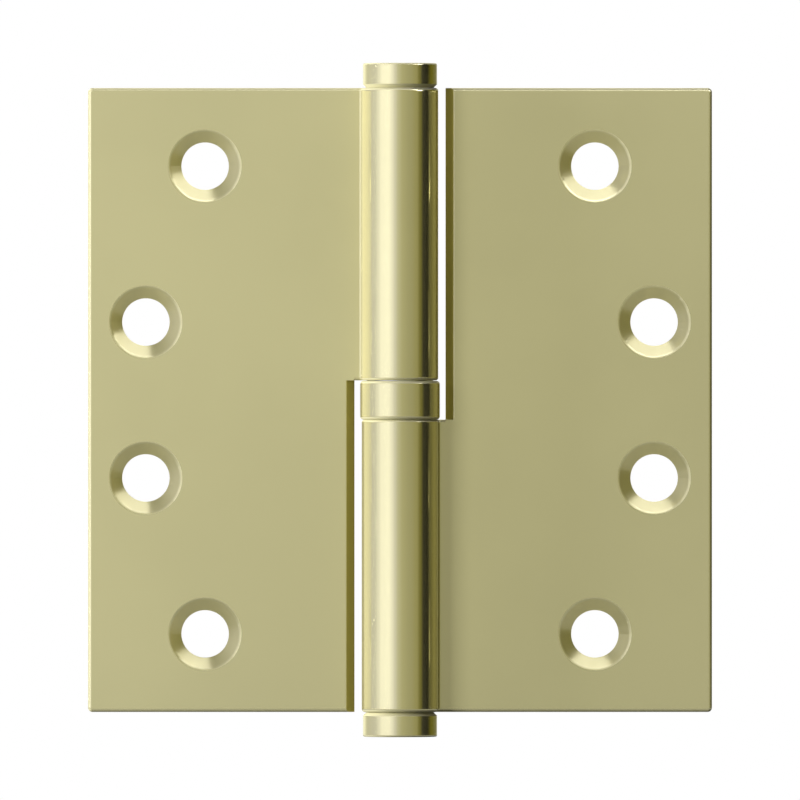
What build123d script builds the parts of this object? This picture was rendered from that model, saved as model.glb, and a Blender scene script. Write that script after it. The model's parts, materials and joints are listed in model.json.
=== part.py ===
from build123d import *
from math import asin, cos, floor, pi, sin
import os

# Lift-off butt hinge in solid brass, four inches square, shown open flat.
# The origin lies on the pin's axis at mid-height. +Z runs up the pin, +X to the right across the
# open leaves and +Y into the wall, so the countersunk faces look towards -Y.
# The door leaf, on the left, lifts off the pin that stands in the frame leaf's knuckle.
# All lengths are in millimetres, angles in degrees.

# Leaves
LEAF_HEIGHT = 101.6
OPEN_WIDTH = 101.6
LEAF_THICKNESS = 3.3
CLOSED_GAP = 2.0  # between the two leaves when the hinge is shut
LEAF_CORNER_RADIUS = 0.7
LEAF_EDGE_ROUND = 0.55
FRONT_ROOT_FILLET = 0.4  # leaf to knuckle, countersunk side
BACK_ROOT_FILLET = 1.0
NOTCH_CLEARANCE = 1.17  # notch wall to the other leaf's knuckle
NOTCH_CHAMFER = 1.28  # along the notch wall's front edge
NOTCH_EDGE_ROUND = 0.35  # where that chamfer runs out on the leaf's face

# Screw holes
HOLES_PER_LEAF = 4
HOLE_DIAMETER = 7.75
HOLE_END_MARGIN = 12.7  # first and last hole to the leaf's ends
OUTER_HOLE_MARGIN = 19.05  # first and last hole to the leaf's free edge
INNER_HOLE_MARGIN = 9.4  # holes between them to the leaf's free edge
SINK_DIAMETER = 11.43
SINK_ANGLE = 82
SINK_LIP_ROUND = 0.6

# Knuckles and pin
KNUCKLE_DIAMETER = 12.5
PIN_DIAMETER = 6.35
PIN_RUNNING_CLEARANCE = 0.05  # radial, in the door leaf's knuckle
PIN_NOSE_ROUND = 1.2
PIN_FOOT_CHAMFER = 0.4
PIN_END_GAP = 1.0  # pin nose to the top tip's stem
BORE_LEAD_IN = 0.5
KNUCKLE_SEAT_ROUND = 0.5  # knuckle's edge beside the bearing

# Tips
TIP_HEIGHT = 4.0
TIP_STEP = 0.2  # the tip is smaller than the knuckle by this much all round
TIP_SEAT_CHAMFER = 0.6
TIP_END_ROUND = 0.3
TIP_STEM_LENGTH = 8.0
TIP_STEM_CHAMFER = 0.6

# Thrust bearing between the knuckles
BEARING_HEIGHT = 6.4
SLEEVE_PROUD = 0.25  # the sleeve stands out from the knuckles by this much all round
SLEEVE_WALL = 0.5
SLEEVE_LIP_THICKNESS = 0.5
SLEEVE_LIP_REACH = 0.5  # inwards from the sleeve's wall, over the races
SLEEVE_EDGE_ROUND = 0.6
SLEEVE_END_GAP = 0.08  # sleeve to the door knuckle's face
RACE_SLEEVE_CLEARANCE = 0.08
RACE_PIN_CLEARANCE = 0.1
GROOVE_LAND = 0.35  # flat left on the race on each side of a ball
GROOVE_DEPTH_SHARE = 0.27  # of the ball's diameter, sunk in each race
GROOVE_CLEARANCE = 0.04
BALL_SPACING = 0.08  # least room between neighbouring balls

# Places worked out from the sizes above
TOLERANCE = 0.01
FREE_EDGE = -OPEN_WIDTH / 2
LEAF_TOP = LEAF_HEIGHT / 2
LEAF_FRONT = CLOSED_GAP / 2
LEAF_BACK = LEAF_FRONT + LEAF_THICKNESS
KNUCKLE_RADIUS = KNUCKLE_DIAMETER / 2
PIN_RADIUS = PIN_DIAMETER / 2
SEAT = BEARING_HEIGHT / 2  # height of the door knuckle's seat on the bearing
NOTCH_WALL = -KNUCKLE_RADIUS - NOTCH_CLEARANCE
TIP_RADIUS = KNUCKLE_RADIUS - TIP_STEP
STEM_END = LEAF_TOP - TIP_STEM_LENGTH
SLEEVE_RADIUS = KNUCKLE_RADIUS + SLEEVE_PROUD
SLEEVE_BORE = SLEEVE_RADIUS - SLEEVE_WALL
LIP_BORE = SLEEVE_BORE - SLEEVE_LIP_REACH
SLEEVE_TOP = SEAT - SLEEVE_END_GAP
RACE_RADIUS = SLEEVE_BORE - RACE_SLEEVE_CLEARANCE
RACE_BORE = PIN_RADIUS + RACE_PIN_CLEARANCE
RACE_BOSS = LIP_BORE - RACE_SLEEVE_CLEARANCE
RACE_SHOULDER = SLEEVE_TOP - SLEEVE_LIP_THICKNESS - RACE_SLEEVE_CLEARANCE
BALL_DIAMETER = RACE_RADIUS - RACE_BORE - 2 * GROOVE_LAND
BALL_CIRCLE = (RACE_RADIUS + RACE_BORE) / 2
RACE_FACE = BALL_DIAMETER * (0.5 - GROOVE_DEPTH_SHARE)
BALL_COUNT = floor(pi / asin((BALL_DIAMETER + BALL_SPACING) / (2 * BALL_CIRCLE)))


def turned(points):
    """Turn a closed outline of (radius, height) points about the pin's axis."""
    outline = Plane.XZ * make_face(Polyline(*points, close=True))
    return revolve(outline, Axis.Z)


def rim(solid, radius, height):
    """The circular edge of this radius at this height, centred on the pin's axis."""
    circles = solid.edges().filter_by(GeomType.CIRCLE)
    return circles.filter_by(
        lambda edge: abs(edge.radius - radius) < TOLERANCE
        and abs(edge.arc_center.Z - height) < TOLERANCE
    )


def with_root(section, face_height, radius):
    """Fillet the inside corner where the leaf's face at this height runs into the knuckle."""
    root = section.vertices().filter_by(
        lambda corner: abs(corner.Y - face_height) < TOLERANCE and -KNUCKLE_RADIUS < corner.X < 0
    )
    return fillet(root, radius)


def leaf_section():
    """Section across the pin: the knuckle's round, with the leaf running out to the left."""
    plate_centre = Pos(FREE_EDGE / 2, (LEAF_FRONT + LEAF_BACK) / 2)
    section = Circle(KNUCKLE_RADIUS) + plate_centre * Rectangle(OPEN_WIDTH / 2, LEAF_THICKNESS)
    section = with_root(section, LEAF_FRONT, FRONT_ROOT_FILLET)
    return with_root(section, LEAF_BACK, BACK_ROOT_FILLET)


def leaf_blank():
    """The extruded section with its corners and outer edges rounded, knuckle full height."""
    blank = extrude(leaf_section(), LEAF_HEIGHT / 2, both=True)
    corners = blank.edges().filter_by(Axis.Y).group_by(Axis.X)[0]
    blank = fillet(corners, LEAF_CORNER_RADIUS)
    outline = blank.edges().filter_by(Axis.Y, reverse=True).filter_by(
        lambda edge: abs(edge.center().Z) > LEAF_TOP - LEAF_CORNER_RADIUS
        or edge.center().X < FREE_EDGE + LEAF_CORNER_RADIUS
    )
    return fillet(outline, LEAF_EDGE_ROUND)


def knuckle_notch():
    """Room below the seat for the other leaf's knuckle and the bearing."""
    size = OPEN_WIDTH
    corner = Align.MIN, Align.CENTER, Align.MAX
    return Pos(NOTCH_WALL, 0, SEAT) * Box(size, size, LEAF_HEIGHT, align=corner)


def notch_chamfer():
    """The chamfer along the notch wall's front edge, running out in a round on the leaf's face."""
    edge = NOTCH_WALL - NOTCH_CHAMFER
    reach = NOTCH_CHAMFER + NOTCH_CLEARANCE
    outline = Polyline(
        (edge - NOTCH_EDGE_ROUND, LEAF_FRONT - reach),
        (edge - NOTCH_EDGE_ROUND, LEAF_FRONT),
        (edge, LEAF_FRONT),
        (edge + reach, LEAF_FRONT + reach),
        (edge + reach, LEAF_FRONT - reach),
        close=True,
    )
    section = make_face(outline)
    corner = section.vertices().sort_by_distance((edge, LEAF_FRONT))[0]
    return Pos(0, 0, SEAT) * extrude(fillet(corner, NOTCH_EDGE_ROUND), -LEAF_HEIGHT)


def hole_places():
    """Centres (x, z) of the leaf's holes: a zigzag, with the first and last nearer to the knuckle."""
    pitch = (LEAF_HEIGHT - 2 * HOLE_END_MARGIN) / (HOLES_PER_LEAF - 1)
    places = []
    for row in range(HOLES_PER_LEAF):
        at_end = row in (0, HOLES_PER_LEAF - 1)
        margin = OUTER_HOLE_MARGIN if at_end else INNER_HOLE_MARGIN
        places.append((FREE_EDGE + margin, row * pitch + HOLE_END_MARGIN - LEAF_TOP))
    return places


def with_screw_holes(leaf):
    """Drill and countersink the leaf from its front, and soften the lips of the countersinks."""
    for x, z in hole_places():
        face = Plane(origin=(x, LEAF_FRONT, z), x_dir=(1, 0, 0), z_dir=(0, -1, 0))
        leaf -= face * CounterSinkHole(
            radius=HOLE_DIAMETER / 2,
            counter_sink_radius=SINK_DIAMETER / 2,
            depth=LEAF_THICKNESS,
            counter_sink_angle=SINK_ANGLE,
        )
    lips = leaf.edges().filter_by(GeomType.CIRCLE).filter_by(
        lambda edge: abs(edge.radius - SINK_DIAMETER / 2) < TOLERANCE
        and abs(edge.arc_center.Y - LEAF_FRONT) < TOLERANCE
    )
    return fillet(lips, SINK_LIP_ROUND)


def leaf_with_knuckle(bore_radius):
    """A door leaf: knuckle above the bearing's seat, notch below it, bored for the pin."""
    leaf = leaf_blank() - knuckle_notch()
    leaf = fillet(rim(leaf, KNUCKLE_RADIUS, SEAT), KNUCKLE_SEAT_ROUND) - notch_chamfer()
    leaf = with_screw_holes(leaf)
    knuckle_length = LEAF_TOP - SEAT
    leaf -= Pos(0, 0, SEAT + knuckle_length / 2) * Cylinder(bore_radius, knuckle_length)
    return chamfer(rim(leaf, bore_radius, SEAT), BORE_LEAD_IN)


def tip(stem_radius):
    """The button that closes the door knuckle's top, with its stem in the bore."""
    top = LEAF_TOP + TIP_HEIGHT
    body = turned([(0, LEAF_TOP), (TIP_RADIUS, LEAF_TOP), (TIP_RADIUS, top), (0, top)])
    body = chamfer(rim(body, TIP_RADIUS, LEAF_TOP), TIP_SEAT_CHAMFER)
    body = fillet(rim(body, TIP_RADIUS, top), TIP_END_ROUND)
    stem = Pos(0, 0, STEM_END + TIP_STEM_LENGTH / 2) * Cylinder(stem_radius, TIP_STEM_LENGTH)
    return body + chamfer(rim(stem, stem_radius, STEM_END), TIP_STEM_CHAMFER)


def pin():
    """The straight pin, from the bottom tip's stem to just short of the top tip's."""
    foot = -STEM_END
    nose = STEM_END - PIN_END_GAP
    body = Pos(0, 0, (foot + nose) / 2) * Cylinder(PIN_RADIUS, nose - foot)
    body = fillet(rim(body, PIN_RADIUS, nose), PIN_NOSE_ROUND)
    return chamfer(rim(body, PIN_RADIUS, foot), PIN_FOOT_CHAMFER)


def sleeve():
    """The turned sleeve round the bearing, standing on the frame knuckle, with a lip over each race."""
    body = turned(
        [
            (SLEEVE_RADIUS, -SEAT),
            (SLEEVE_RADIUS, SLEEVE_TOP),
            (LIP_BORE, SLEEVE_TOP),
            (LIP_BORE, SLEEVE_TOP - SLEEVE_LIP_THICKNESS),
            (SLEEVE_BORE, SLEEVE_TOP - SLEEVE_LIP_THICKNESS),
            (SLEEVE_BORE, SLEEVE_LIP_THICKNESS - SEAT),
            (LIP_BORE, SLEEVE_LIP_THICKNESS - SEAT),
            (LIP_BORE, -SEAT),
        ]
    )
    edges = rim(body, SLEEVE_RADIUS, SLEEVE_TOP) + rim(body, SLEEVE_RADIUS, -SEAT)
    return fillet(edges, SLEEVE_EDGE_ROUND)


def race():
    """The upper race: a ring with a boss through the sleeve's lip and a groove for the balls."""
    ring = turned(
        [
            (RACE_BORE, RACE_FACE),
            (RACE_RADIUS, RACE_FACE),
            (RACE_RADIUS, RACE_SHOULDER),
            (RACE_BOSS, RACE_SHOULDER),
            (RACE_BOSS, SEAT),
            (RACE_BORE, SEAT),
        ]
    )
    return ring - Torus(BALL_CIRCLE, BALL_DIAMETER / 2 + GROOVE_CLEARANCE)


def balls():
    """The full ring of balls, each a solid of its own."""
    step = 2 * pi / BALL_COUNT
    ring = []
    for index in range(BALL_COUNT):
        place = Pos(BALL_CIRCLE * cos(index * step), BALL_CIRCLE * sin(index * step))
        ring.append(place * Sphere(BALL_DIAMETER / 2))
    return Compound(children=ring)


# The hinge is the same turned half round the viewer's line of sight, so each frame piece is a door
# piece turned half round Y.
turn_over = Rot(0, 180, 0)
door_bore = PIN_RADIUS + PIN_RUNNING_CLEARANCE
pieces = {
    "door_leaf": leaf_with_knuckle(door_bore),
    "top_tip": tip(door_bore),
    "frame_leaf": turn_over * leaf_with_knuckle(PIN_RADIUS),
    "bottom_tip": turn_over * tip(PIN_RADIUS),
    "hinge_pin": pin(),
    "bearing_sleeve": sleeve(),
    "upper_race": race(),
    "lower_race": turn_over * race(),
    "bearing_balls": balls(),
}

os.makedirs("parts", exist_ok=True)
for name, shape in pieces.items():
    export_step(shape, f"parts/{name}.step")
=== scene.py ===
"""Looks of a brass lift-off hinge: the finish of each piece, a plain studio and the front view."""

import json
import logging
from dataclasses import dataclass
from enum import Enum
from math import cos, pi, radians, sin
from typing import NamedTuple

import bpy
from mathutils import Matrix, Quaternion, Vector


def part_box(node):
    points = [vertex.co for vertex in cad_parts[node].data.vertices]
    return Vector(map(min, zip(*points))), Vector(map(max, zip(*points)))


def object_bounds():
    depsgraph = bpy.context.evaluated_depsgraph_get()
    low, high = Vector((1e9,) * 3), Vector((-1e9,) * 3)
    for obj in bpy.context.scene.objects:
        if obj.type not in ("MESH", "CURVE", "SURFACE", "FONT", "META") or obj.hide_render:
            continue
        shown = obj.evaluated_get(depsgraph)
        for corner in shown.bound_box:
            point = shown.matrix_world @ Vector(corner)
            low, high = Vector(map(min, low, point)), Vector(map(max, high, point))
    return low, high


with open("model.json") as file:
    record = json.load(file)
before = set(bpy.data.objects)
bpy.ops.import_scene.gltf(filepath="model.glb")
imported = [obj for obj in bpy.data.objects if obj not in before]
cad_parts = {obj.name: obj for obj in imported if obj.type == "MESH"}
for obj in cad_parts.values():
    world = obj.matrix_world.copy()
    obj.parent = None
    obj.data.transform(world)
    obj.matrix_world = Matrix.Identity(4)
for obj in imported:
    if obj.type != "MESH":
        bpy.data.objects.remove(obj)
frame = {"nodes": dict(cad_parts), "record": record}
CAD_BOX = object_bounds()

MM = 0.001
HALF_TURN = 180.0

Socket = bpy.types.NodeSocket
Colour = tuple[float, float, float]
Value = float | tuple[float, ...] | Socket

log = logging.getLogger("hinge")


class Metal(Enum):
    """The metals of the hinge, as linear colours."""

    BRASS = (0.74, 0.695, 0.37)
    # Darker brass painted into the notch walls and chamfers as shade.
    NOTCH_SHADE_BRASS = (0.46, 0.41, 0.10)
    PIN_STEEL = (0.60, 0.60, 0.60)
    BEARING_STEEL = (0.66, 0.66, 0.67)


def grey(level: float) -> tuple[float, float, float, float]:
    """Returns an opaque neutral colour."""
    return (level, level, level, 1.0)


def shaded(colour: Colour, share: float) -> tuple[float, float, float, float]:
    """Returns an opaque colour, darkened to a share of itself."""
    return (colour[0] * share, colour[1] * share, colour[2] * share, 1.0)


def deselect() -> None:
    """Leaves nothing selected, so that an operator acts on new pieces alone."""
    bpy.ops.object.select_all(action="DESELECT")


class Shader:
    """Adds and wires the nodes of one material or world."""

    def __init__(self, owner: bpy.types.Material | bpy.types.World) -> None:
        """Starts the owner with an empty node tree.

        Args:
            owner: Material or world that the nodes belong to.
        """
        owner.use_nodes = True
        self.tree = owner.node_tree
        self.tree.nodes.clear()

    def add(self, kind: str, inputs: dict[str | int, Value], **settings: object) -> bpy.types.Node:
        """Adds a node with its inputs set or linked.

        Args:
            kind: Blender's name of the node type.
            inputs: Value or source socket for each input, by name or number.
            settings: Properties of the node itself.

        Returns:
            The new node.
        """
        node = self.tree.nodes.new(kind)
        for key, value in settings.items():
            setattr(node, key, value)
        for key, value in inputs.items():
            if isinstance(value, bpy.types.NodeSocket):
                self.tree.links.new(value, node.inputs[key])
            else:
                node.inputs[key].default_value = value
        return node

    def math(self, operation: str, *values: Value) -> Socket:
        """Returns the result of a math node."""
        return self.add("ShaderNodeMath", dict(enumerate(values)), operation=operation).outputs[0]

    def fade(self, value: Value, start: float, end: float, low: float = 0.0, high: float = 1.0) -> Socket:
        """Maps a value smoothly from one range to another.

        Args:
            value: What is mapped.
            start: Value that gives low.
            end: Value that gives high.
            low: Result at and before start.
            high: Result at and after end.

        Returns:
            The mapped value's socket.
        """
        inputs = {0: value, 1: start, 2: end, 3: low, 4: high}
        return self.add("ShaderNodeMapRange", inputs, interpolation_type="SMOOTHSTEP").outputs[0]

    def mix(self, share: Value, first: Value, second: Value) -> Socket:
        """Returns a number between first and second."""
        inputs = {0: share, 2: first, 3: second}
        return self.add("ShaderNodeMix", inputs, data_type="FLOAT").outputs[0]

    def tint(self, share: Value, first: Value, second: Value) -> Socket:
        """Returns a colour between first and second."""
        inputs = {0: share, 6: first, 7: second}
        return self.add("ShaderNodeMix", inputs, data_type="RGBA").outputs[2]

    def distance(self, first: Value, second: Value) -> Socket:
        """Finds the length of a flat vector.

        Args:
            first: One side of the vector.
            second: The other side, square to it.

        Returns:
            The length's socket.
        """
        square = self.math("MULTIPLY", first, first)
        other = self.math("MULTIPLY", second, second)
        return self.math("SQRT", self.math("ADD", square, other))


class Cut(NamedTuple):
    """What the tools left on a surface: their lines and the gloss, where it is dull, and where shade is
    painted into its colour.
    """

    height: Socket
    roughness: Socket
    metallic: Value
    streak: Value = 0.0
    across: Socket | None = None
    # Where the colour is darkened as painted shade, on dull ends and notch walls.
    dulled: Socket | None = None
    # Where the notch walls and chamfers are painted darker brass as shade.
    painted_notch_shade: Socket | None = None


@dataclass(frozen=True)
class Finish:
    """What every metal finish has in common."""

    name: str
    metal: Metal
    roughness: float
    metallic: float = 1.0
    roughness_spread: float = 0.03
    tarnish: float = 0.04
    tarnish_scale: float = 28.0
    tarnish_detail: float = 4.0
    tarnish_range: tuple[float, float] = (0.35, 0.65)
    line_pitch: float = 0.11 * MM
    line_depth: float = 0.0002 * MM
    line_detail: float = 3.0
    line_range: tuple[float, float] = (0.3, 0.7)
    # Share of the colour kept where the surface is dull: painted shade on the ends and the notch walls.
    painted_end_shade: float = 0.72

    def cut(self, shader: Shader, place: Socket) -> Cut:
        """Finds what the tools left on the surface.

        Args:
            shader: Tree that the nodes go to.
            place: Position on the piece.

        Returns:
            The surface that the lathe left.
        """
        x, y, z = shader.add("ShaderNodeSeparateXYZ", {0: place}).outputs
        travel = shader.math("ADD", z, shader.distance(x, y))
        lines = self.turned_lines(shader, travel)
        roughest = self.roughness + self.roughness_spread
        gloss = shader.fade(lines, *self.line_range, self.roughness, roughest)
        return Cut(shader.math("MULTIPLY", lines, self.line_depth), gloss, self.metallic)

    def turned_lines(self, shader: Shader, travel: Socket) -> Socket:
        """Returns uneven fine lines across the way that a lathe tool travels."""
        inputs = {"W": travel, "Scale": 1.0 / self.line_pitch, "Detail": self.line_detail}
        return shader.add("ShaderNodeTexNoise", inputs, noise_dimensions="1D").outputs[0]

    def colour(self, shader: Shader, place: Socket, cut: Cut) -> Socket:
        """Mixes the colour of the metal.

        Args:
            shader: Tree that the nodes go to.
            place: Position on the piece.
            cut: The surface as the tools left it.

        Returns:
            The metal with its faint clouds, painted shade on its dull parts, and a darker brass painted
            into the notch as shade.
        """
        noise = {"Vector": place, "Scale": self.tarnish_scale, "Detail": self.tarnish_detail}
        cloud = shader.add("ShaderNodeTexNoise", noise).outputs[0]
        clean = shaded(self.metal.value, 1.0)
        hazed = shaded(self.metal.value, 1.0 - self.tarnish)
        colour = shader.tint(shader.fade(cloud, *self.tarnish_range), clean, hazed)
        # Painted shade: dull ends and notch walls are darkened, and the notch painted a darker brass.
        if cut.dulled is not None:
            colour = shader.tint(cut.dulled, colour, shaded(self.metal.value, self.painted_end_shade))
        if cut.painted_notch_shade is not None:
            colour = shader.tint(cut.painted_notch_shade, colour, shaded(Metal.NOTCH_SHADE_BRASS.value, 1.0))
        return colour

    def material(self) -> bpy.types.Material:
        """Builds the finish.

        Returns:
            The new material.
        """
        made = bpy.data.materials.new(self.name)
        shader = Shader(made)
        place = shader.add("ShaderNodeTexCoord", {}).outputs["Object"]
        cut = self.cut(shader, place)
        bump = shader.add("ShaderNodeBump", {"Height": cut.height, "Strength": 1.0, "Distance": 1.0})
        inputs = {
            "Base Color": self.colour(shader, place, cut),
            "Metallic": cut.metallic,
            "Roughness": cut.roughness,
            "Normal": bump.outputs[0],
            "Anisotropic": cut.streak,
        }
        if cut.across is not None:
            inputs["Tangent"] = cut.across
        surface = shader.add("ShaderNodeBsdfPrincipled", inputs)
        shader.add("ShaderNodeOutputMaterial", {"Surface": surface.outputs[0]})
        return made


@dataclass(frozen=True)
class TurnedBrass(Finish):
    """Bright turned brass with dull ends and edges, whose colour is darkened there as painted shade."""

    roughness: float = 0.10
    metallic: float = 0.75
    end_roughness: float = 0.7
    end_metallic: float = 0.05
    end_turn: tuple[float, float] = (0.28, 0.45)

    def cut(self, shader: Shader, place: Socket) -> Cut:
        """Finds what the lathe left and dulls the ends.

        Args:
            shader: Tree that the nodes go to.
            place: Position on the piece.

        Returns:
            The turned surface with its dull ends, darkened as painted shade.
        """
        turned = super().cut(shader, place)
        return self.dull(shader, turned, self.find_ends(shader))

    def find_ends(self, shader: Shader) -> Socket:
        """Returns where the surface turns up or down, as the cut ends and their edges do."""
        return self.facing(shader, "Z")

    def facing(self, shader: Shader, way: str) -> Socket:
        """Finds where the surface turns along an axis of the piece.

        Args:
            shader: Tree that the nodes go to.
            way: Name of the axis.

        Returns:
            How far the surface turns that way or against it, from 0 to 1.
        """
        normal = shader.add("ShaderNodeTexCoord", {}).outputs["Normal"]
        turned = shader.add("ShaderNodeSeparateXYZ", {0: normal}).outputs[way]
        return shader.fade(shader.math("ABSOLUTE", turned), *self.end_turn)

    def dull(self, shader: Shader, cut: Cut, share: Socket) -> Cut:
        """Takes the polish off a part of the surface and marks it for painted shade in its colour.

        Args:
            shader: Tree that the nodes go to.
            cut: The surface as the tools left it.
            share: Where it is dulled, with its colour darkened as painted shade, from 0 to 1.

        Returns:
            The surface with its dull part.
        """
        roughness = shader.mix(share, cut.roughness, self.end_roughness)
        metallic = shader.mix(share, cut.metallic, self.end_metallic)
        # The dulled share later darkens the colour as painted shade.
        return cut._replace(roughness=roughness, metallic=metallic, dulled=share)


@dataclass(frozen=True, kw_only=True)
class SatinLeaf(TurnedBrass):
    """Satin leaf faces, with a turned knuckle, dull ends with painted shade, a notch painted dark as
    shade and bright turned countersinks.
    """

    roughness: float = 0.24
    metallic: float = 0.6
    grain_length: float = 7.0 * MM
    knuckle_radius: float
    knuckle_roughness: float = TurnedBrass.roughness
    knuckle_metallic: float = TurnedBrass.metallic
    sinks: tuple[tuple[float, float], ...]
    sink_radius: float = 5.8 * MM
    sink_roughness: float = 0.36
    sink_metallic: float = 0.9
    sink_streak: float = 0.9
    back: float
    notch_reach: float = 12.0 * MM
    # The notch walls' dulling also darkens their colour as painted shade.
    notch_dulling_and_shade: float = 0.5
    edge_fade: float = 0.2 * MM

    def cut(self, shader: Shader, place: Socket) -> Cut:
        """Finds what the brush, the lathe, the cutter and the countersink left.

        Args:
            shader: Tree that the nodes go to.
            place: Position on the piece.

        Returns:
            The surface of the faces, the knuckle, the notch and the countersinks.
        """
        x, y, z = shader.add("ShaderNodeSeparateXYZ", {0: place}).outputs
        in_sink, across = self.find_sink(shader, x, y, z)
        on_knuckle = self.find_knuckle(shader, x, y)
        in_notch = self.find_notch(shader, x, on_knuckle)
        lines = shader.mix(on_knuckle, self.brushed_grain(shader, place), self.turned_lines(shader, z))
        level = shader.mix(on_knuckle, self.roughness, self.knuckle_roughness)
        level = shader.mix(in_sink, level, self.sink_roughness)
        spread = shader.fade(lines, *self.line_range, 0.0, self.roughness_spread)
        metallic = shader.mix(on_knuckle, self.metallic, self.knuckle_metallic)
        surface = Cut(
            height=shader.math("MULTIPLY", lines, self.line_depth),
            roughness=shader.math("ADD", level, spread),
            metallic=shader.mix(in_sink, metallic, self.sink_metallic),
            streak=shader.math("MULTIPLY", in_sink, self.sink_streak),
            across=across,
            # Painted shade: the notch walls and chamfers get the darker brass.
            painted_notch_shade=in_notch,
        )
        # Ends and notch walls are dulled, and their colour darkened as painted shade.
        ends = shader.math("MAXIMUM", shader.math("SUBTRACT", self.find_ends(shader), in_sink), 0.0)
        notch_dull_and_shade = shader.math("MULTIPLY", in_notch, self.notch_dulling_and_shade)
        return self.dull(shader, surface, shader.math("MAXIMUM", ends, notch_dull_and_shade))

    def brushed_grain(self, shader: Shader, place: Socket) -> Socket:
        """Finds the fine uneven lines that a brush leaves along the leaf.

        Args:
            shader: Tree that the nodes go to.
            place: Position on the piece.

        Returns:
            The height of the lines, from 0 to 1.
        """
        fine = 1.0 / self.line_pitch
        stretch = (fine, fine, 1.0 / self.grain_length)
        along = shader.add("ShaderNodeMapping", {"Vector": place, "Scale": stretch}).outputs[0]
        noise = {"Vector": along, "Scale": 1.0, "Detail": self.line_detail}
        return shader.add("ShaderNodeTexNoise", noise).outputs[0]

    def find_knuckle(self, shader: Shader, x: Socket, y: Socket) -> Socket:
        """Returns where the surface belongs to the knuckle, from 0 to 1."""
        edge = self.knuckle_radius + self.edge_fade
        return shader.fade(shader.distance(x, y), edge + self.edge_fade, edge)

    def find_notch(self, shader: Shader, x: Socket, on_knuckle: Socket) -> Socket:
        """Finds the walls and chamfers of the notch for the other leaf's knuckle.

        Args:
            shader: Tree that the nodes go to.
            x: Place across the leaf.
            on_knuckle: Where the surface belongs to the knuckle.

        Returns:
            How far the surface is a wall or a chamfer there, from 0 to 1.
        """
        reach = shader.math("ABSOLUTE", x)
        near = shader.fade(reach, self.notch_reach, self.notch_reach - self.edge_fade)
        on_leaf = shader.mix(on_knuckle, near, 0.0)
        return shader.math("MULTIPLY", self.facing(shader, "X"), on_leaf)

    def find_sink(self, shader: Shader, x: Socket, y: Socket, z: Socket) -> tuple[Socket, Socket]:
        """Finds the countersink that a point lies in, on either leaf.

        Args:
            shader: Tree that the nodes go to.
            x: Place across the leaf.
            y: Place through the leaf.
            z: Place along the leaf.

        Returns:
            How far the point is inside a countersink, from 0 to 1, and the way out from its middle.
        """
        inside: Value = 0.0
        out_x: Value = 0.0
        out_z: Value = 0.0
        for hole_x, hole_z in self.sinks:
            step_x = shader.math("SUBTRACT", shader.math("ABSOLUTE", x), hole_x)
            step_z = shader.math("SUBTRACT", shader.math("ABSOLUTE", z), hole_z)
            reach = shader.distance(step_x, step_z)
            share = shader.fade(reach, self.sink_radius + self.edge_fade, self.sink_radius)
            inside = shader.math("ADD", inside, share)
            out_x = shader.math("MULTIPLY_ADD", step_x, share, out_x)
            out_z = shader.math("MULTIPLY_ADD", step_z, share, out_z)
        out_x = shader.math("MULTIPLY", out_x, shader.math("SIGN", x))
        out_z = shader.math("MULTIPLY", out_z, shader.math("SIGN", z))
        across = shader.add("ShaderNodeCombineXYZ", {"X": out_x, "Z": out_z})
        in_front = shader.fade(y, self.back - self.edge_fade, self.back - 2 * self.edge_fade)
        return shader.math("MULTIPLY", inside, in_front), across.outputs[0]


def dress(node: str, material: bpy.types.Material) -> None:
    """Gives a CAD piece its finish and reports it.

    Args:
        node: Name of the piece.
        material: Finish of the piece.
    """
    piece = frame["nodes"][node]
    piece.data.materials.clear()
    piece.data.materials.append(material)
    log.info("%s: %s", node, material.name)


@dataclass
class Leaf:
    """One leaf with its knuckle and the button that closes it."""

    leaf: str
    button: str

    def screw_rows(self) -> list[dict]:
        """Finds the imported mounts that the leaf's screw holes belong to.

        Returns:
            The record's rows of the leaf's screw patterns.
        """
        side = self.leaf.split("_")[0]
        mounts = frame["record"]["mounts"]
        own = [mount for mount in mounts if mount["name"].startswith(side)]
        return [mount for mount in own if mount["kind"] == "bolt_pattern"]

    def hole_places(self) -> tuple[tuple[float, float], ...]:
        """Returns the upper screw holes' places across and along the leaf."""
        rows = self.screw_rows()
        return tuple((abs(row["pos_m"][0]), row["dims"]["spacing_y_mm"] * MM / 2) for row in rows)

    def dress(self, turned: bpy.types.Material) -> None:
        """Finishes the leaf and its button.

        Args:
            turned: Finish of the small turned pieces.
        """
        satin = SatinLeaf(
            name=f"{self.leaf}_satin",
            metal=Metal.BRASS,
            knuckle_radius=-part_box(self.leaf)[0].y,
            sinks=self.hole_places(),
            back=self.screw_rows()[0]["pos_m"][1],
        )
        dress(self.leaf, satin.material())
        dress(self.button, turned)


@dataclass
class Bearing:
    """The collar between the knuckles with its races and balls, and the pin that runs through it."""

    sleeve: str = "bearing_sleeve"
    races: tuple[str, str] = ("upper_race", "lower_race")
    balls: str = "bearing_balls"
    pin: str = "hinge_pin"

    def dress(self, turned: bpy.types.Material) -> None:
        """Finishes the bearing and the pin.

        Args:
            turned: Finish of the small turned pieces.
        """
        hardened = Finish("hardened_steel", Metal.BEARING_STEEL, roughness=0.16).material()
        ground = Finish("ground_steel", Metal.PIN_STEEL, roughness=0.24, line_pitch=0.07 * MM).material()
        dress(self.sleeve, turned)
        for race in self.races:
            dress(race, hardened)
        dress(self.balls, hardened)
        dress(self.pin, ground)


class Tint(Enum):
    """Tints of the studio's walls and lamps."""

    WHITE = (1.0, 1.0, 1.0)
    COOL = (1.0, 1.0, 1.25)
    PLAIN = (1.0, 1.0, 0.9)
    STRAW = (1.0, 0.98, 0.7)
    WARM = (1.0, 0.95, 0.5)
    AMBER = (1.0, 0.92, 0.1)


class Role(Enum):
    """What a lamp does: it washes the matt share of a finish, or it shows in the polish."""

    WASH = "wash"
    GLINT = "glint"


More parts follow.
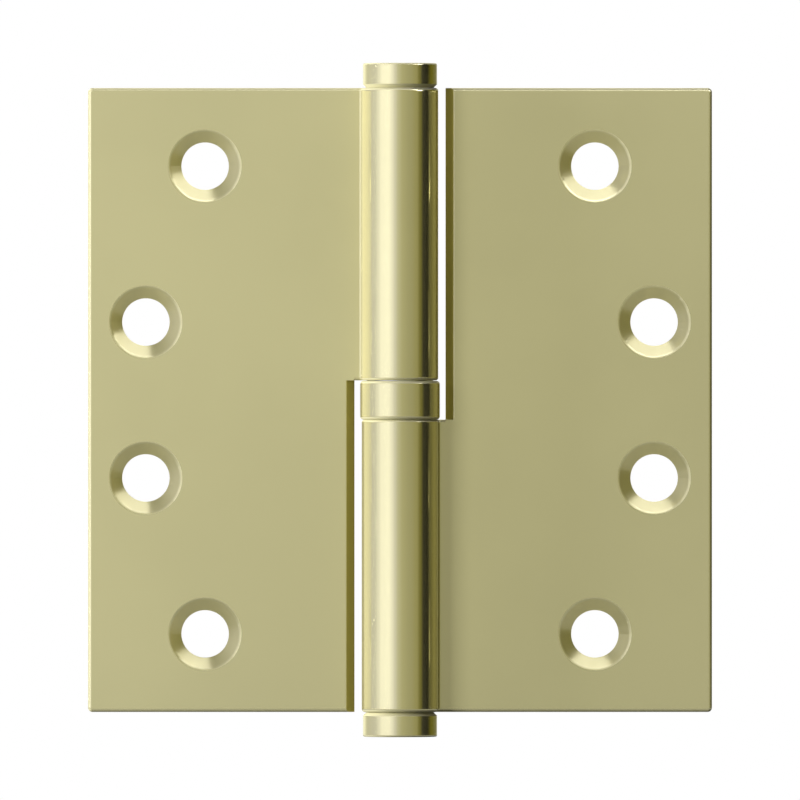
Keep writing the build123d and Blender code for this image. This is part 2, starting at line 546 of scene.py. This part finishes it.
@dataclass(frozen=True)
class Lamp:
    """A lamp aimed at the middle of the hinge, with its angles in degrees and its lengths in metres."""

    name: str
    role: Role
    azimuth: float
    elevation: float
    distance: float
    brightness: float

    def hang(self, kind: str, roll: float = 0.0) -> bpy.types.Light:
        """Hangs the lamp in its place.

        Args:
            kind: Blender's name of the lamp type.
            roll: Turn about the way that the lamp shines, in degrees.

        Returns:
            The new lamp's settings.
        """
        turn = radians(self.azimuth)
        rise = radians(self.elevation)
        away = Vector((sin(turn) * cos(rise), -cos(turn) * cos(rise), sin(rise)))
        deselect()
        bpy.ops.object.light_add(type=kind, location=away * self.distance)
        lamp = bpy.context.object
        lamp.name = self.name
        aim = (-away).to_track_quat("-Z", "Y")
        lamp.rotation_euler = (aim @ Quaternion((0.0, 0.0, 1.0), radians(roll))).to_euler()
        lamp.visible_camera = False
        lamp.visible_diffuse = self.role is Role.WASH
        lamp.visible_glossy = self.role is Role.GLINT
        return lamp.data


@dataclass(frozen=True)
class Softbox(Lamp):
    """A soft rectangular lamp near the hinge."""

    width: float
    height: float
    roll: float = 0.0
    tint: Tint = Tint.WHITE

    def build(self) -> None:
        """Hangs the lamp and sets its size and light."""
        light = self.hang("AREA", self.roll)
        light.shape = "RECTANGLE"
        light.size = self.width
        light.size_y = self.height
        light.color = self.tint.value
        light.energy = self.brightness * pi * self.width * self.height


@dataclass(frozen=True)
class Skylight(Lamp):
    """Even soft light from far above, which gives the floor its shadow."""

    spread: float = 14.0

    def build(self) -> None:
        """Hangs the lamp and sets its light."""
        light = self.hang("SUN")
        light.angle = radians(self.spread)
        light.energy = self.brightness * pi


class Panel(NamedTuple):
    """One upright of the studio's walls: its azimuth in degrees, its brightness and its tint."""

    azimuth: float
    level: float
    tint: Tint


@dataclass
class Studio:
    """A pale floor just below the hinge, soft lamps, studio walls and the front camera."""

    picture_width: float = 130.22 * MM
    lens: float = 1000.0
    sensor: float = 36.0
    view_depth: float = 2.0
    floor_drop: float = 15.0 * MM
    floor_radius: float = 260.0 * MM
    floor_corners: int = 96
    floor_colour: float = 0.5
    floor_bounce: float = 0.06
    floor_lift: float = 0.53
    floor_glow: float = 0.36
    fill_light: float = 0.02
    lamps: tuple[Softbox | Skylight, ...] = (
        Softbox(
            name="key_lamp",
            role=Role.WASH,
            azimuth=-42.0,
            elevation=10.0,
            distance=0.50,
            brightness=12.4,
            width=0.17,
            height=0.30,
        ),
        Softbox(
            name="overhead_bar",
            role=Role.GLINT,
            azimuth=39.4,
            elevation=61.7,
            distance=0.136,
            brightness=6.0,
            width=0.22,
            height=0.045,
            roll=-42.7,
            tint=Tint.COOL,
        ),
        Softbox(
            name="rim_lamp",
            role=Role.WASH,
            azimuth=-84.0,
            elevation=8.0,
            distance=0.50,
            brightness=27.0,
            width=0.17,
            height=0.30,
            tint=Tint.COOL,
        ),
        Skylight(
            name="skylight",
            role=Role.WASH,
            azimuth=174.0,
            elevation=58.0,
            distance=0.60,
            brightness=1.2,
        ),
    )
    walls: tuple[Panel, ...] = (
        Panel(-180.0, 1.0, Tint.PLAIN),
        Panel(-150.0, 1.0, Tint.PLAIN),
        Panel(-120.0, 0.32, Tint.PLAIN),
        Panel(-92.0, 0.36, Tint.COOL),
        Panel(-80.0, 0.46, Tint.COOL),
        Panel(-70.0, 0.80, Tint.COOL),
        Panel(-57.0, 1.20, Tint.COOL),
        Panel(-33.0, 1.33, Tint.COOL),
        Panel(-24.0, 1.12, Tint.COOL),
        Panel(-15.0, 0.80, Tint.COOL),
        Panel(-5.0, 0.61, Tint.PLAIN),
        Panel(8.0, 0.51, Tint.STRAW),
        Panel(30.0, 0.46, Tint.STRAW),
        Panel(52.0, 0.42, Tint.WARM),
        Panel(64.0, 0.20, Tint.AMBER),
        Panel(75.0, 0.01, Tint.AMBER),
        Panel(94.0, 0.01, Tint.AMBER),
        Panel(116.0, 0.20, Tint.AMBER),
        Panel(146.0, 0.26, Tint.WARM),
        Panel(180.0, 1.0, Tint.WHITE),
    )
    ceiling: float = 0.35
    ceiling_rise: tuple[float, float] = (0.35, 0.85)

    def build(self) -> None:
        """Sets up the whole studio."""
        bpy.context.scene.view_settings.view_transform = "Standard"
        self.lay_floor()
        self.paint_walls()
        for lamp in self.lamps:
            lamp.build()
        self.place_camera()

    def lay_floor(self) -> None:
        """Lays a round pale floor that shows white and keeps the hinge's shadow."""
        deselect()
        bpy.ops.mesh.primitive_circle_add(
            vertices=self.floor_corners,
            radius=self.floor_radius,
            fill_type="NGON",
            location=(0.0, 0.0, CAD_BOX[0].z - self.floor_drop),
        )
        floor = bpy.context.object
        floor.name = "floor"
        floor.data.materials.append(self.floor_material())

    def floor_material(self) -> bpy.types.Material:
        """Builds the floor's surface, which is clear from below.

        Returns:
            The new material.
        """
        made = bpy.data.materials.new("pale_floor")
        shader = Shader(made)
        path = shader.add("ShaderNodeLightPath", {})
        seen = path.outputs["Is Camera Ray"]
        pale = shader.tint(seen, grey(self.floor_bounce), grey(self.floor_colour))
        matt = shader.add("ShaderNodeBsdfDiffuse", {"Color": pale})
        mirrored = shader.math("MULTIPLY", path.outputs["Is Glossy Ray"], self.floor_glow)
        lift = shader.math("MULTIPLY_ADD", seen, self.floor_lift, mirrored)
        glow = shader.add("ShaderNodeEmission", {"Color": grey(1.0), "Strength": lift})
        lit = shader.add("ShaderNodeAddShader", {0: matt.outputs[0], 1: glow.outputs[0]})
        below = shader.add("ShaderNodeNewGeometry", {}).outputs["Backfacing"]
        clear = shader.add("ShaderNodeBsdfTransparent", {})
        surface = shader.add("ShaderNodeMixShader", {0: below, 1: lit.outputs[0], 2: clear.outputs[0]})
        shader.add("ShaderNodeOutputMaterial", {"Surface": surface.outputs[0]})
        return made

    def paint_walls(self) -> None:
        """Surrounds the hinge with white for the camera and soft studio walls for the polish."""
        world = bpy.data.worlds.new("studio_walls")
        bpy.context.scene.world = world
        world.cycles.sampling_method = "NONE"
        shader = Shader(world)
        way = shader.add("ShaderNodeTexCoord", {}).outputs["Generated"]
        x, y, z = shader.add("ShaderNodeSeparateXYZ", {0: way}).outputs
        turn = shader.math("ARCTAN2", x, shader.math("MULTIPLY", y, -1.0))
        inputs = {0: turn, 1: -pi, 2: pi, 3: 0.0, 4: 1.0}
        around = shader.add("ShaderNodeMapRange", inputs).outputs[0]
        ramp = shader.add("ShaderNodeValToRGB", {0: around})
        self.fill_ramp(ramp.color_ramp)
        high = shader.fade(z, *self.ceiling_rise)
        walls = shader.tint(high, ramp.outputs[0], grey(self.ceiling))
        path = shader.add("ShaderNodeLightPath", {})
        room = shader.tint(path.outputs["Is Glossy Ray"], grey(self.fill_light), walls)
        shown = shader.tint(path.outputs["Is Camera Ray"], room, grey(1.0))
        glow = shader.add("ShaderNodeBackground", {"Color": shown, "Strength": 1.0})
        shader.add("ShaderNodeOutputWorld", {"Surface": glow.outputs[0]})

    def fill_ramp(self, ramp: bpy.types.ColorRamp) -> None:
        """Sets the brightness of the walls round the hinge.

        Args:
            ramp: New ramp with a stop at each end, once round from behind the hinge.
        """
        ramp.interpolation = "EASE"
        for panel in self.walls[1:-1]:
            ramp.elements.new((panel.azimuth + HALF_TURN) / (2 * HALF_TURN))
        for stop, panel in zip(ramp.elements, self.walls):
            stop.color = shaded(panel.tint.value, panel.level)

    def place_camera(self) -> None:
        """Places the camera in front of the pin, square to the leaves."""
        deselect()
        distance = self.picture_width / self.sensor * self.lens
        bpy.ops.object.camera_add(location=(0.0, -distance, 0.0), rotation=(radians(90.0), 0.0, 0.0))
        camera = bpy.context.object
        camera.name = "front_camera"
        camera.data.lens = self.lens
        camera.data.sensor_width = self.sensor
        camera.data.clip_end = self.view_depth * distance
        bpy.context.scene.camera = camera


def main() -> None:
    """Dresses the hinge and sets up its studio."""
    logging.basicConfig(level=logging.INFO, format="%(name)s %(message)s")
    turned = TurnedBrass("turned_brass", Metal.BRASS).material()
    Leaf("door_leaf", "top_tip").dress(turned)
    Leaf("frame_leaf", "bottom_tip").dress(turned)
    Bearing().dress(turned)
    Studio().build()


if __name__ == "__main__":
    main()
